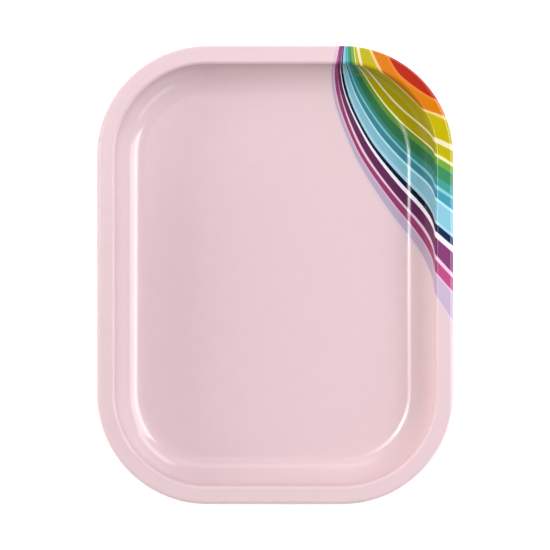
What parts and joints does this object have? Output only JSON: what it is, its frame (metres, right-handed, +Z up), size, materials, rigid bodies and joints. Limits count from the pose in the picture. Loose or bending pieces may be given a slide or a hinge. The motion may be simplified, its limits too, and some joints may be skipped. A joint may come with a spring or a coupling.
{
  "type": "promotional serving tray",
  "caption": "Small rounded rectangular tray pressed from printed sheet metal, with a scooped wall, a narrow level rim and a rolled-under edge.",
  "frame": {"origin": "centre of the flat floor's underside, where the tray rests on a table", "axes": "+Z up out of the tray's open side, +Y along its length towards the striped corner's short side, +X towards its long side"},
  "size_m": [0.14, 0.18, 0.0125],
  "materials": {
    "printed_tinplate": "gloss enamel print, pale pink with rainbow stripes across one corner; clear-lacquered bare tinplate on the back"
  },
  "bodies": {
    "root": {"floor_panel": "printed_tinplate", "side_wall": "printed_tinplate", "rim_flange": "printed_tinplate", "rolled_edge": "printed_tinplate"}
  },
  "joints": []
}
